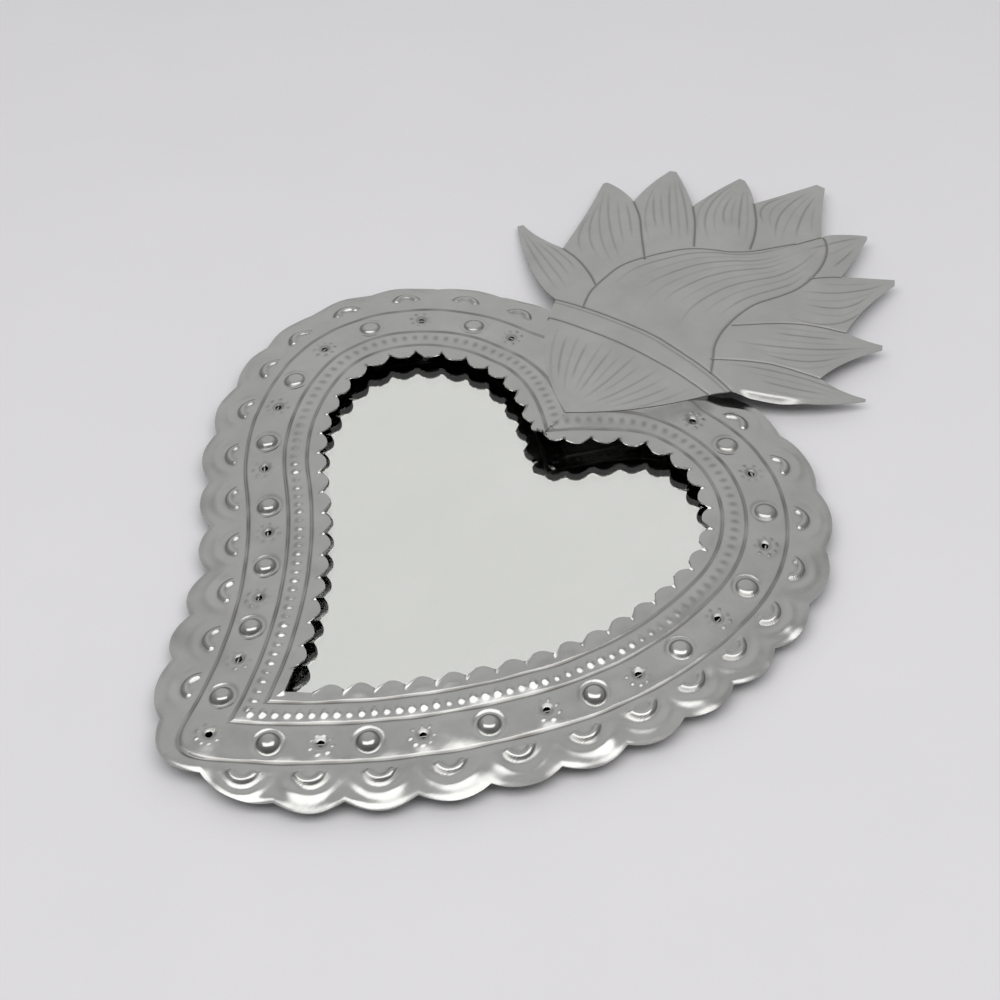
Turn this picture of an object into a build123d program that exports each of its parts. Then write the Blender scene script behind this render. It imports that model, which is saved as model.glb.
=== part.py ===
from build123d import *
import os
from collections import namedtuple
from math import atan2, cos, degrees, hypot, radians, sin, tan

os.makedirs("parts", exist_ok=True)

# ---------------------------------------------------------------- driving sizes
# Millimetres. +X to the right, +Y to the flames, +Z to the front. The back of the box lies on z = 0.
SHEET = 0.5                      # tin of the front
STRIP = 0.4                      # thinner tin of the walls, tabs and strap
SEAT = 0.05                      # how far a soldered edge bites into its neighbour
EDGE_ROOM = 0.5                  # glass and card to the walls
HINGE_ROOM = 0.05                # ring wire to its barrel, on the radius

# The row of domes is the guide line of the heart: arcs of (radius, turn) from the cleft to the tip.
CLEFT = (3.0, 18.5)
LEFT_HEADING = 144
LEFT_TURNS = ((110, 8), (57, 75), (45, 55), (90, 38), (188, -33))
RIGHT_HEADING = 45
RIGHT_TURNS = ((137, -7), (40, -47), (59, -79), (124, -34), (229, -27))

# The border is a shallow arch across its width, highest beside the opening.
GUIDE_HEIGHT = 8.05
BORDER_SLOPE = 0.092
BORDER_ARCH = 0.0016
BORDER_INSIDE = -24.0
BORDER_OUTSIDE = 26.0
GROOVES = (-14.6, -6.7, 6.8)
GROOVE_HALF = 0.9
GROOVE_DEPTH = 0.3
RIB_LINE = -10.6
RIB_RISE = 1.0
CLEFT_LIFT = 8.5                 # degrees by which each lobe is bent up towards the cleft

# Cut edges. Stations are lengths along SCALLOP_LINE from the cleft.
SCALLOP_LINE = 21.0
SCALLOP_VALLEY = 19.6
SCALLOP_PEAK = 23.3
LEFT_SCALLOPS = (68, 92, 117, 143, 167, 189, 213, 238, 261, 281, 300, 319, 337)
RIGHT_SCALLOPS = (70, 99, 128, 154, 178, 198, 218, 238, 259, 281, 303, 325, 347, 368)
NOTCH_LINE = -18.5
PETAL_BULGE = 2.6
PETAL_PITCH = 9.6
CLEFT_NOTCH = (3.7, -2.5)
TIP_VALLEYS = ((-15.9, -165.8), (8.5, -172.2))
TIP_SCALLOP_BULGE = 7.0
SCALLOP_STEPS = 5                # straight cuts of the snips round a scallop, and round a petal
PETAL_STEPS = 4

# Places of the domes along the guide, as they were punched by eye; a nail hole lies between each two.
LEFT_DOMES = (62.5, 101.7, 140.2, 172.7, 203.7, 230.7, 256.6, 284.7)
RIGHT_DOMES = (56.7, 90.7, 125.2, 158.9, 191.2, 225.0, 261.9, 292.1)
DOME_RADIUS = 3.6
DOME_RISE = 1.9
DOME_SHOULDER = (2.7, 1.25)      # radius and height where the side of a dome turns over
DOME_CROWN = 1.2                 # radius of its top
DOME_SIDES = 10

# Crown: a flat cone of sheet that falls away from the fan tip.
FAN_TIP = (4.3, 8.9)
FAN_TIP_HEIGHT = 15.2
CONE_FALL = 12.2                 # degrees of the cone to its own base
CONE_TILT = 8.7                  # degrees by which the cone leans up towards the flames
BAND_LEFT = ((-35.5, 48.0), (-40.5, 59.5))
BAND_RIGHT = ((35.5, 50.5), (40.0, 57.5))
# Each flame: middle of its left edge, the two corners of its snipped tip, middle of its right edge, root.
FLAMES = (
    ((-60.0, 69.5), (-85.0, 90.5), (-83.5, 92.5), (-72.0, 88.6), (-59.5, 87.5)),
    ((-66.0, 109.5), (-74.0, 131.5), (-73.0, 133.0), (-64.5, 131.6), (-56.0, 128.0)),
    ((-57.4, 140.0), (-57.0, 153.5), (-54.5, 154.5), (-43.5, 146.0), (-34.5, 138.0)),
    ((-33.3, 151.0), (-31.0, 165.0), (-28.5, 165.0), (-21.5, 159.4), (-16.5, 154.0)),
    ((-10.0, 167.5), (-4.5, 180.0), (-0.5, 180.0), (9.0, 163.0), (16.0, 152.5)),
    ((22.0, 159.0), (29.0, 164.0), (30.0, 162.5), (33.3, 147.0), (35.0, 136.0)),
    ((42.5, 141.9), (51.0, 148.5), (52.5, 146.0), (51.6, 127.0), (53.5, 111.0)),
    ((60.5, 112.1), (67.0, 114.5), (68.0, 112.5), (62.0, 98.0), (59.5, 84.5)),
    ((68.5, 84.8), (77.0, 87.5), (77.5, 86.5), (60.5, 69.3), (40.0, 57.5)),
)

# Box behind the heart, from the back plate to the underside of the border.
PLATE = 0.5
CARD = 2.0
SILVER = 0.1
GLASS = 3.0
GLASS_TAB = (8.0, 3.0)           # along the wall, over the glass
GLASS_TABS = (60, 130, 200, 262)
BACK_TAB = (8.0, 5.0)            # along the wall, up the wall
BACK_TABS = (40, 100, 160, 220, 275)
TACK_LEG = 2.0
TACK_LENGTH = 5.0
FRONT_TACKS = (70, 125, 180, 240, 290)
TAB_TACK_RISE = 1.2

# Hanger behind the band of the crown.
HANGER_X = 2.0
STRAP_WIDTH = 8.0
STRAP_LENGTH = 13.0
HINGE_Y = 64.0
WIRE = 1.6
RING_LOOP = ((6.0, 0.0), (6.0, 3.5), (3.0, 8.0))   # right half of the wire, from the bar to the top
BARREL_LAP = 0.1                 # barrel let into the strap

FAN_FOOT = (13.6, 6.8)           # foot of the step beside the fan, at its tip and at the band
BEHIND_BAND = 75.0

# ---------------------------------------------------------------- derived sizes
CARD_BACK = PLATE
SILVER_BACK = CARD_BACK + CARD
GLASS_BACK = SILVER_BACK + SILVER
GLASS_FRONT = GLASS_BACK + GLASS
ABOVE = 40.0                     # clear above every part
HALF_SPACE = 600.0
MITRE_HALF = -NOTCH_LINE
CONE_RADIUS = 1.2 * max(hypot(x - FAN_TIP[0], y - FAN_TIP[1]) for flame in FLAMES for x, y in flame)
START_SPARE = 14.0               # degrees run past the cleft before the halves are mitred
END_SPARE = 10.0                 # degrees run past the tip
FOLD_LAP = 0.4

Arc = namedtuple("Arc", "x y radius bulge start turn")


def polar(x, y, radius, angle):
    return (x + radius * cos(radians(angle)), y + radius * sin(radians(angle)))


def arc_chain(side, heading, turns):
    """Arcs of one half of the heart. side is 1 on the left, -1 on the right; bulge is 1 round the inside."""
    x, y = CLEFT
    chain = []
    for radius, turn in turns:
        sense = 1 if turn > 0 else -1
        start = heading - 90 * sense
        cx, cy = polar(x, y, -radius, start)
        chain.append(Arc(cx, cy, radius, sense * side, start, turn))
        x, y = polar(cx, cy, radius, start + turn)
        heading += turn
    return chain


LEFT = arc_chain(1, LEFT_HEADING, LEFT_TURNS)
RIGHT = arc_chain(-1, RIGHT_HEADING, RIGHT_TURNS)


def reach(arc, offset):
    """Radius about the arc's centre of a line offset from the guide, outwards if positive."""
    return arc.radius + arc.bulge * offset


def on_arc(arc, offset, angle):
    return polar(arc.x, arc.y, reach(arc, offset), angle)


def meet(one, two, offset, low):
    """Where the offset lines of two arcs cross: the lower or the upper crossing."""
    r1, r2 = reach(one, offset), reach(two, offset)
    dx, dy = two.x - one.x, two.y - one.y
    gap = hypot(dx, dy)
    along = (gap * gap + r1 * r1 - r2 * r2) / (2 * gap)
    across = (r1 * r1 - along * along) ** 0.5
    mx, my = one.x + along * dx / gap, one.y + along * dy / gap
    ends = [(mx - s * across * dy / gap, my + s * across * dx / gap) for s in (1, -1)]
    return min(ends, key=lambda p: p[1]) if low else max(ends, key=lambda p: p[1])


def cleft_point(offset):
    return meet(LEFT[0], RIGHT[0], offset, low=False)


def tip_point(offset):
    return meet(LEFT[-1], RIGHT[-1], offset, low=True)


def angle_of(arc, point):
    """Angle of a point about the arc's centre, on the same turn as the arc's own angles."""
    angle = degrees(atan2(point[1] - arc.y, point[0] - arc.x))
    middle = arc.start + arc.turn / 2
    return angle + 360 * round((middle - angle) / 360)


def whole(chain):
    return [(arc, arc.start, arc.start + arc.turn) for arc in chain]


def trimmed(chain, offset):
    """Half a heart at an offset, from the cleft crossing to the tip crossing: (arc, first, last angle)."""
    spans = whole(chain)
    spans[0] = (chain[0], angle_of(chain[0], cleft_point(offset)), spans[0][2])
    spans[-1] = (chain[-1], spans[-1][1], angle_of(chain[-1], tip_point(offset)))
    return spans


def run(span, line):
    arc, first, last = span
    return reach(arc, line) * radians(abs(last - first))


def find(spans, station, line):
    """Arc and angle at a length along an offset line."""
    for span in spans:
        if station <= run(span, line) or span is spans[-1]:
            break
        station -= run(span, line)
    arc, first, last = span
    return arc, first + (last - first) * station / run(span, line)


def spot(spans, station, line, offset):
    arc, angle = find(spans, station, line)
    return on_arc(arc, offset, angle)


def heart_face(offset):
    edges = []
    for chain in (LEFT, RIGHT):
        for arc, first, last in trimmed(chain, offset):
            edges.append(ThreePointArc(*[on_arc(arc, offset, a) for a in (first, (first + last) / 2, last)]))
    return make_face(edges)


def bowed(start, end, height, steps):
    """Points of a bow that stands off its chord by height, to the left of its way, but for its end."""
    dx, dy = end[0] - start[0], end[1] - start[1]
    chord = hypot(dx, dy)
    points = []
    for k in range(steps):
        along = k / steps
        off = 4 * height * along * (1 - along) / chord
        points.append((start[0] + along * dx - off * dy, start[1] + along * dy + off * dx))
    return points


def prism(face, bottom, top):
    return extrude(Pos(0, 0, bottom) * face, top - bottom, dir=(0, 0, 1))


def beside(low, high, side):
    """A block on one side of the upright plane through two points, 1 for the left and -1 for the right."""
    plane = Plane(origin=(*low, 0), x_dir=(high[0] - low[0], high[1] - low[1], 0), z_dir=(0, 0, 1))
    return plane * Pos(0, side * HALF_SPACE / 2, 0) * Box(HALF_SPACE, HALF_SPACE, HALF_SPACE)


def bent(arc, first, last, outline):
    """A section of (offset, height) points carried round an arc from one angle to another."""
    across = (cos(radians(first)), sin(radians(first)), 0)
    plane = Plane(origin=(arc.x, arc.y, 0), x_dir=across, z_dir=(across[1], -across[0], 0))
    section = plane * make_face(Polyline(*[(reach(arc, o), z) for o, z in outline], close=True))
    axis = Axis((arc.x, arc.y, 0), (0, 0, 1 if last > first else -1))
    return revolve(section, axis, abs(last - first))


def box_section(inside, outside, bottom, top):
    return [(inside, bottom), (outside, bottom), (outside, top), (inside, top)]


def short_piece(chain, station, length, outline):
    """A section carried along the guide for a short length, centred on a station."""
    arc, angle = find(whole(chain), station, 0)
    half = degrees(length / 2 / arc.radius)
    return bent(arc, angle - half, angle + half, outline)


# ---------------------------------------------------------------- front sheet
def border_height(offset):
    return GUIDE_HEIGHT - BORDER_SLOPE * offset - BORDER_ARCH * offset * offset


def border_profile():
    """Top of the border from inside to outside: three grooves, and a rib between two of them."""
    points = [(BORDER_INSIDE, 0), (RIB_LINE, RIB_RISE), (BORDER_OUTSIDE, 0)]
    for line in GROOVES:
        points += [(line - GROOVE_HALF, 0), (line, -GROOVE_DEPTH), (line + GROOVE_HALF, 0)]
    return [(o, border_height(o) + dz) for o, dz in sorted(points)]


def border_underside():
    """Underside of the border. The grooves are pressed into the front only, the rib shows on both sides."""
    points = [(BORDER_INSIDE, 0), (RIB_LINE, RIB_RISE), (BORDER_OUTSIDE, 0)]
    points += [(line, 0) for line in GROOVES]
    return [(o, border_height(o) + dz - SHEET) for o, dz in sorted(points)]


def border_section():
    return border_profile() + border_underside()[::-1]


def under_border(offset):
    """Height of the underside of the border, between two points of its profile."""
    under = border_underside()
    for (o1, z1), (o2, z2) in zip(under, under[1:]):
        if offset <= o2:
            break
    return z1 + (z2 - z1) * (offset - o1) / (o2 - o1)


def half_border(chain, side):
    """Half of the pressed border. From the top of its lobe it is bent up towards the cleft."""
    section = border_section()
    start, lobe, *body, end = chain
    way = 1 if lobe.turn > 0 else -1
    crest = 90 + 360 * round((lobe.start - 90) / 360)
    raised = bent(start, start.start - way * START_SPARE, start.start + start.turn, section)
    raised += bent(lobe, lobe.start, crest + way * FOLD_LAP, section)
    fold = Axis((lobe.x, 0, border_height(0)), (0, -side, 0))
    raised = raised.rotate(fold, CLEFT_LIFT)
    half = raised & beside(cleft_point(BORDER_INSIDE), cleft_point(-BORDER_INSIDE), side)
    half += bent(lobe, crest, lobe.start + lobe.turn, section)
    for arc in body:
        half += bent(arc, arc.start, arc.start + arc.turn, section)
    end_way = 1 if end.turn > 0 else -1
    point = bent(end, end.start, end.start + end.turn + end_way * END_SPARE, section)
    return half + (point & beside(tip_point(-MITRE_HALF), tip_point(MITRE_HALF), -side))


def valleys(chain, centres, tip_valley):
    """Points between neighbouring scallops, from beside the band to the tip."""
    beyond = centres[0] - (centres[1] - centres[0]) / 2
    between = [(a + b) / 2 for a, b in zip(centres, centres[1:])]
    points = [spot(whole(chain), s, SCALLOP_LINE, SCALLOP_VALLEY) for s in [beyond] + between]
    return points + [tip_valley]


def scalloped_heart():
    left = valleys(LEFT, LEFT_SCALLOPS, TIP_VALLEYS[0])
    right = valleys(RIGHT, RIGHT_SCALLOPS, TIP_VALLEYS[1])[::-1]
    rise = SCALLOP_VALLEY - SCALLOP_PEAK
    points = [FAN_TIP]
    for a, b in zip(left, left[1:]):
        points += bowed(a, b, rise, SCALLOP_STEPS)
    points += bowed(left[-1], right[0], -TIP_SCALLOP_BULGE, SCALLOP_STEPS)
    for a, b in zip(right, right[1:]):
        points += bowed(a, b, rise, SCALLOP_STEPS)
    return make_face(Polyline(*points, right[-1], close=True))


def petal_edge(chain, side):
    """Notches and petals of half the opening, from the cleft to the tip, which has no petals."""
    spans = trimmed(chain, NOTCH_LINE)
    length = sum(run(span, NOTCH_LINE) for span in spans)
    count = round(length / PETAL_PITCH)
    notches = [spot(spans, length * k / count, NOTCH_LINE, NOTCH_LINE) for k in range(1, count)]
    notches.insert(0, CLEFT_NOTCH)
    points = []
    for a, b in zip(notches, notches[1:]):
        points += bowed(a, b, side * PETAL_BULGE, PETAL_STEPS)
    return points + [notches[-1]]


def opening():
    """The heart-shaped opening, with petals that bulge over the glass between notches."""
    right = petal_edge(RIGHT, -1)[:0:-1]
    return make_face(Polyline(*petal_edge(LEFT, 1), tip_point(NOTCH_LINE), *right, close=True))


def crown_face():
    edges = [Polyline(FAN_TIP, *BAND_LEFT)]
    root = BAND_LEFT[-1]
    for left, first_corner, second_corner, right, next_root in FLAMES:
        edges.append(ThreePointArc(root, left, first_corner))
        edges.append(Line(first_corner, second_corner))
        edges.append(ThreePointArc(second_corner, right, next_root))
        root = next_root
    edges.append(Polyline(root, BAND_RIGHT[0], FAN_TIP))
    return make_face(edges)


def crown_cone(depth):
    """Everything under the surface of the crown, lowered by a depth."""
    height = CONE_RADIUS * tan(radians(CONE_FALL))
    cone = Cone(CONE_RADIUS, 0, height, align=(Align.CENTER, Align.CENTER, Align.MAX))
    return Pos(*FAN_TIP, FAN_TIP_HEIGHT - depth) * Rot(CONE_TILT, 0, 0) * cone


def crown_layer(face, top_depth, bottom_depth):
    """A layer that follows the crown between two depths under its surface."""
    return (prism(face, 0, ABOVE) & crown_cone(top_depth)) - crown_cone(bottom_depth)


def fan_wall(corner, side):
    """The small step between a lobe and the raised fan, along one edge of the fan."""
    dx, dy = corner[0] - FAN_TIP[0], corner[1] - FAN_TIP[1]
    length = hypot(dx, dy)
    corners = [(0, FAN_FOOT[0]), (length, FAN_FOOT[1]), (length, ABOVE), (0, ABOVE)]
    outline = make_face(Polyline(*corners, close=True))
    plane = Plane(origin=(*FAN_TIP, 0), x_dir=(dx, dy, 0), z_dir=(dy, -dx, 0))
    wall = extrude(plane * outline, side * SHEET)
    return wall & crown_cone(SHEET / 2)


def front_sheet():
    border = half_border(LEFT, 1) + half_border(RIGHT, -1)
    border &= prism(scalloped_heart(), 0, ABOVE)
    border -= prism(opening(), 0, ABOVE)
    fan = Polyline(FAN_TIP, BAND_RIGHT[1], (BAND_RIGHT[1][0], BEHIND_BAND), (BAND_LEFT[1][0], BEHIND_BAND),
                   BAND_LEFT[0], close=True)
    border -= prism(offset(make_face(fan), -SEAT), 0, ABOVE)
    crown = crown_layer(crown_face(), 0, SHEET)
    sheet = border + crown + fan_wall(BAND_LEFT[0], 1) + fan_wall(BAND_RIGHT[1], -1)
    caps, hollows = [], []
    for chain, marks in ((LEFT, LEFT_DOMES), (RIGHT, RIGHT_DOMES)):
        for station in marks:
            cap, hollow = dome(spot(whole(chain), station, 0, 0), border_height(0) - SHEET / 2)
            caps.append(cap)
            hollows.append(hollow)
    return sheet + caps - hollows


def punched(*rings):
    """A solid with many flat sides through rings of (radius, height)."""
    return loft([Pos(0, 0, z) * RegularPolygon(radius, DOME_SIDES) for radius, z in rings], ruled=True)


def dome(point, height):
    """A dome pressed up from the middle of the sheet in two slopes, and the hollow under it."""
    shoulder, low = DOME_SHOULDER
    cap = punched((DOME_RADIUS, 0), (shoulder, low), (DOME_CROWN, DOME_RISE))
    hollow = punched((DOME_RADIUS - SHEET, -SHEET), (DOME_CROWN - SHEET, DOME_RISE - SHEET))
    return Pos(*point, height) * cap, Pos(*point, height) * hollow


# ---------------------------------------------------------------- box behind the heart
def wall(chain, side):
    """Strip of tin that stands round half of the glass, on the back plate and under the border."""
    section = box_section(0, STRIP, PLATE, under_border(STRIP))
    start, *body, end = chain
    spare = START_SPARE if start.turn > 0 else -START_SPARE
    strip = bent(start, start.start - spare, start.start + start.turn, section)
    strip &= beside(cleft_point(BORDER_INSIDE), cleft_point(-BORDER_INSIDE), side)
    for arc in body:
        strip += bent(arc, arc.start, arc.start + arc.turn, section)
    end_spare = END_SPARE if end.turn > 0 else -END_SPARE
    point = bent(end, end.start, end.start + end.turn + end_spare, section)
    strip += point & beside(tip_point(-MITRE_HALF), tip_point(MITRE_HALF), -side)
    length, width = GLASS_TAB
    tab = box_section(-width, SEAT, GLASS_FRONT, GLASS_FRONT + STRIP)
    for station in GLASS_TABS:
        strip += short_piece(chain, station, length, tab)
    return strip


def back_plate():
    """Flat back with tabs folded up against the outside of the walls."""
    plate = prism(heart_face(STRIP), 0, PLATE)
    length, height = BACK_TAB
    foot = box_section(STRIP - SEAT, 2 * STRIP, 0, PLATE)
    tab = box_section(STRIP, 2 * STRIP, 0, height)
    for chain in (LEFT, RIGHT):
        for station in BACK_TABS:
            plate += short_piece(chain, station, length, foot)
            plate += short_piece(chain, station, length, tab)
    return plate


def front_tacks():
    """Solder in the corner between the walls and the underside of the border."""
    under = under_border(STRIP)
    out = STRIP + TACK_LEG
    corner = [(STRIP, under - TACK_LEG), (out, under_border(out)), (STRIP, under)]
    return [short_piece(chain, s, TACK_LENGTH, corner) for chain in (LEFT, RIGHT) for s in FRONT_TACKS]


def tab_tacks():
    """Solder over the top edge of each back tab."""
    height = BACK_TAB[1]
    corner = [(STRIP, height), (2 * STRIP, height), (STRIP, height + TAB_TACK_RISE)]
    return [short_piece(chain, s, TACK_LENGTH, corner) for chain in (LEFT, RIGHT) for s in BACK_TABS]


# ---------------------------------------------------------------- hanger
def crown_under(y):
    """Height of the underside of the crown straight above the fan tip."""
    return FAN_TIP_HEIGHT - SHEET - (y - FAN_TIP[1]) * tan(radians(CONE_FALL - CONE_TILT))


BARREL_BORE = WIRE / 2 + HINGE_ROOM
BARREL_OUT = BARREL_BORE + STRIP
HINGE_Z = crown_under(HINGE_Y) - STRIP - BARREL_OUT + BARREL_LAP


def hinge_rod(x_from, x_to, radius):
    """A rod along X on the hinge line."""
    plane = Plane(origin=(x_from, HINGE_Y, HINGE_Z), x_dir=(0, 1, 0), z_dir=(1, 0, 0))
    return extrude(plane * Circle(radius), x_to - x_from)


def hanger_strap():
    left, right = HANGER_X - STRAP_WIDTH / 2, HANGER_X + STRAP_WIDTH / 2
    foot = make_face(Polyline((left, HINGE_Y - STRAP_LENGTH), (right, HINGE_Y - STRAP_LENGTH),
                              (right, HINGE_Y), (left, HINGE_Y), close=True))
    strap = crown_layer(foot, SHEET, SHEET + STRIP) + hinge_rod(left, right, BARREL_OUT)
    return strap - hinge_rod(left - 1, right + 1, BARREL_BORE)


def hanging_ring():
    """Loop bent from wire: a straight bar through the barrel, two legs, and shoulders up to a short top."""
    corners = list(RING_LOOP) + [(-x, y) for x, y in reversed(RING_LOOP)]
    path = Polyline((0, 0), *corners, close=True)
    section = Plane(origin=(0, 0, 0), x_dir=(0, 1, 0), z_dir=(1, 0, 0)) * Circle(WIRE / 2)
    loop = sweep(section, path, transition=Transition.RIGHT)
    return Plane(origin=(HANGER_X, HINGE_Y, HINGE_Z)) * loop


def strap_solder():
    """Fillet of solder along the lower end of the strap."""
    left, right = HANGER_X - STRAP_WIDTH / 2, HANGER_X + STRAP_WIDTH / 2
    end = HINGE_Y - STRAP_LENGTH
    foot = crown_under(end) - STRIP
    tall = foot + 2 * TACK_LEG
    section = make_face(Polyline((end, tall), (end, foot), (end - 2 * TACK_LEG, tall), close=True))
    plane = Plane(origin=(left, 0, 0), x_dir=(0, 1, 0), z_dir=(1, 0, 0))
    return extrude(plane * section, right - left) & crown_cone(SHEET)


NODES = {
    "front_sheet": front_sheet,
    "mirror_glass": lambda: prism(heart_face(-EDGE_ROOM), GLASS_BACK, GLASS_FRONT),
    "mirror_silver": lambda: prism(heart_face(-EDGE_ROOM), SILVER_BACK, GLASS_BACK),
    "backing_card": lambda: prism(heart_face(-EDGE_ROOM), CARD_BACK, SILVER_BACK),
    "box_wall_left": lambda: wall(LEFT, 1),
    "box_wall_right": lambda: wall(RIGHT, -1),
    "back_plate": back_plate,
    "front_tacks": front_tacks,
    "tab_tacks": tab_tacks,
    "hanger_strap": hanger_strap,
    "hanging_ring": hanging_ring,
    "strap_solder": strap_solder,
}

for name, build in NODES.items():
    shape = build()
    if isinstance(shape, list):
        shape = Compound(children=shape)
    shape.label = name
    export_step(shape, f"parts/{name}.step")
    solids = shape.solids()
    print(name, len(solids), "solids", round(sum(s.volume for s in solids), 1), "mm3", shape.is_valid)
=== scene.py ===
import math
from collections import namedtuple

import bmesh
import bpy
import numpy as np
from mathutils import Matrix, Vector


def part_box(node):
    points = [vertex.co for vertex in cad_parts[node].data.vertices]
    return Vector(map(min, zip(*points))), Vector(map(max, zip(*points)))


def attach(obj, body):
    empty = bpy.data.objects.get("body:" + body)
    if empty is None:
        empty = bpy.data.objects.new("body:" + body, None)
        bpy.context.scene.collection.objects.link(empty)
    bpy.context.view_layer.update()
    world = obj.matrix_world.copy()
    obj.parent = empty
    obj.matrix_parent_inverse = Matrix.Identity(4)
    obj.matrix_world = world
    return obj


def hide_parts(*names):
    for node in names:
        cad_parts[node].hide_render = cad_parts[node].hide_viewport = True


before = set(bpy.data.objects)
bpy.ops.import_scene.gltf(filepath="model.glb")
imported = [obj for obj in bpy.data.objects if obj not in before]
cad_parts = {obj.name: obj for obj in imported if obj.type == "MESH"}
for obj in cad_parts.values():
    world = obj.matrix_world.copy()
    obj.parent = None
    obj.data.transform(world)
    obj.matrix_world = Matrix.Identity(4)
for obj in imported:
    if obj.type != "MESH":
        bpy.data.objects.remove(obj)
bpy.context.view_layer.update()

# The sheet is worked out in millimetres and brought to metres when a piece is finished.
MM = 0.001
SHEET = 0.5

# ---------------------------------------------------------------- outline of the heart
# The row of domes is the guide line: arcs of (radius, turn) from the cleft to the tip.
CLEFT = (3.0, 18.5)
LEFT_TURNS = ((110, 8), (57, 75), (45, 55), (90, 38), (188, -33))
RIGHT_TURNS = ((137, -7), (40, -47), (59, -79), (124, -34), (229, -27))
GUIDE_HEIGHT = 8.05
BORDER_SLOPE, BORDER_ARCH = 0.092, 0.0016
GROOVES = (-14.6, -6.7, 6.8)
RIB_LINE = -10.6
BEAD_PITCH = 3.8
# How far an offset line is followed past either end of the guide.
BEYOND = 80.0
SCALLOP_LINE, SCALLOP_VALLEY, SCALLOP_PEAK = 21.0, 19.5, 23.1
LEFT_SCALLOPS = (68, 92, 117, 143, 167, 189, 213, 238, 261, 281, 300, 319, 337)
RIGHT_SCALLOPS = (70, 99, 128, 154, 178, 198, 218, 238, 259, 281, 303, 325, 347, 368)
NOTCH_LINE, PETAL_BULGE, PETAL_PITCH = -18.5, 2.6, 9.6
CLEFT_NOTCH = (3.7, -2.5)
TIP_VALLEYS = ((-15.9, -165.8), (8.5, -172.2))
TIP_SCALLOP_BULGE = 6.5
# The valleys of the left lobe lie further out, and so does the crescents' row there;
# the last scallops before the tip stand out further still.
LOBE_LIFT, LOBE_CRESCENT_SHIFT = 1.3, 2.8
FOOT_SPREAD, FOOT_BEGINS = 2.2, 300
CRESCENT_LINE = 12.5
CLEFT_RISE = 5.75
FAN_TIP = (4.3, 8.9)
FAN_TIP_HEIGHT, CROWN_FALL, CROWN_LEAN = 15.2, 0.2135, 0.153
DOME_RADIUS, DOME_RISE = 3.4, 1.6
# Places of the domes and nail holes along the guide, punched by eye.
LEFT_DOMES = (62.5, 101.7, 140.2, 172.7, 203.7, 230.7, 256.6, 284.7)
RIGHT_DOMES = (56.7, 90.7, 125.2, 158.9, 191.2, 225.0, 261.9, 292.1)
LEFT_HOLES = (46.8, 82.3, 121.4, 155.1, 185.4, 215.9, 244.4, 269.9)
RIGHT_HOLES = (40.6, 72.5, 106.1, 141.8, 175.6, 206.9, 245.3, 276.2)
TIP_HOLE = (1.6, -161.35)
NAIL_RADIUS = 1.15
FUNNEL_DEPTH, FUNNEL_WIDTH = 0.95, 1.7
SWELLING_RISE, SWELLING_RADIUS = 0.42, 6.4
PUNCH_MARKS, PUNCH_RING, PUNCH_RADIUS = 8, 3.5, 0.95
# A chased line: the cut of the tool, and the sheet that rolls into it.
GROOVE_DEPTH, GROOVE_WIDTH = 0.28, 0.42
ROLL_DEPTH, ROLL_WIDTH = 0.13, 1.6
RIB_RISE, RIB_WIDTH = 0.22, 2.2
CRESCENT_RISE = 0.78
PETAL_CUP, NOTCH_CURL = 0.32, 0.6

Arc = namedtuple("Arc", "x y radius bulge start turn")


def polar(x, y, radius, angle):
    return (x + radius * math.cos(math.radians(angle)), y + radius * math.sin(math.radians(angle)))


def arc_chain(side, heading, turns):
    x, y = CLEFT
    chain = []
    for radius, turn in turns:
        sense = 1 if turn > 0 else -1
        start = heading - 90 * sense
        cx, cy = polar(x, y, -radius, start)
        chain.append(Arc(cx, cy, radius, sense * side, start, turn))
        x, y = polar(cx, cy, radius, start + turn)
        heading += turn
    return chain


LEFT = arc_chain(1, 144, LEFT_TURNS)
RIGHT = arc_chain(-1, 45, RIGHT_TURNS)


def arc_length(arc):
    return arc.radius * math.radians(abs(arc.turn))


def meet(one, two, offset, low):
    """Where the offset lines of two arcs cross: the lower or the upper crossing."""
    r1, r2 = one.radius + one.bulge * offset, two.radius + two.bulge * offset
    dx, dy = two.x - one.x, two.y - one.y
    gap = math.hypot(dx, dy)
    along = (gap * gap + r1 * r1 - r2 * r2) / (2 * gap)
    aside = math.sqrt(r1 * r1 - along * along)
    mx, my = one.x + along * dx / gap, one.y + along * dy / gap
    ends = [(mx - s * aside * dy / gap, my + s * aside * dx / gap) for s in (1, -1)]
    return min(ends, key=lambda p: p[1]) if low else max(ends, key=lambda p: p[1])


def cleft_point(offset):
    return meet(LEFT[0], RIGHT[0], offset, low=False)


def tip_point(offset):
    return meet(LEFT[-1], RIGHT[-1], offset, low=True)


def lay_out(chain, length, offset):
    """x and y of points at a length along the guide and an offset from it."""
    x, y = np.zeros_like(length), np.zeros_like(length)
    begin = 0.0
    for k, arc in enumerate(chain):
        end = begin + arc_length(arc)
        low = -math.inf if k == 0 else begin
        high = math.inf if arc is chain[-1] else end
        here = (length >= low) & (length < high)
        angle = math.radians(arc.start) + np.sign(arc.turn) * (length[here] - begin) / arc.radius
        reach = arc.radius + arc.bulge * offset[here]
        x[here] = arc.x + reach * np.cos(angle)
        y[here] = arc.y + reach * np.sin(angle)
        begin = end
    return x, y


def spot(chain, length, offset):
    x, y = lay_out(chain, np.array([float(length)]), np.array([float(offset)]))
    return x[0], y[0]


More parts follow.
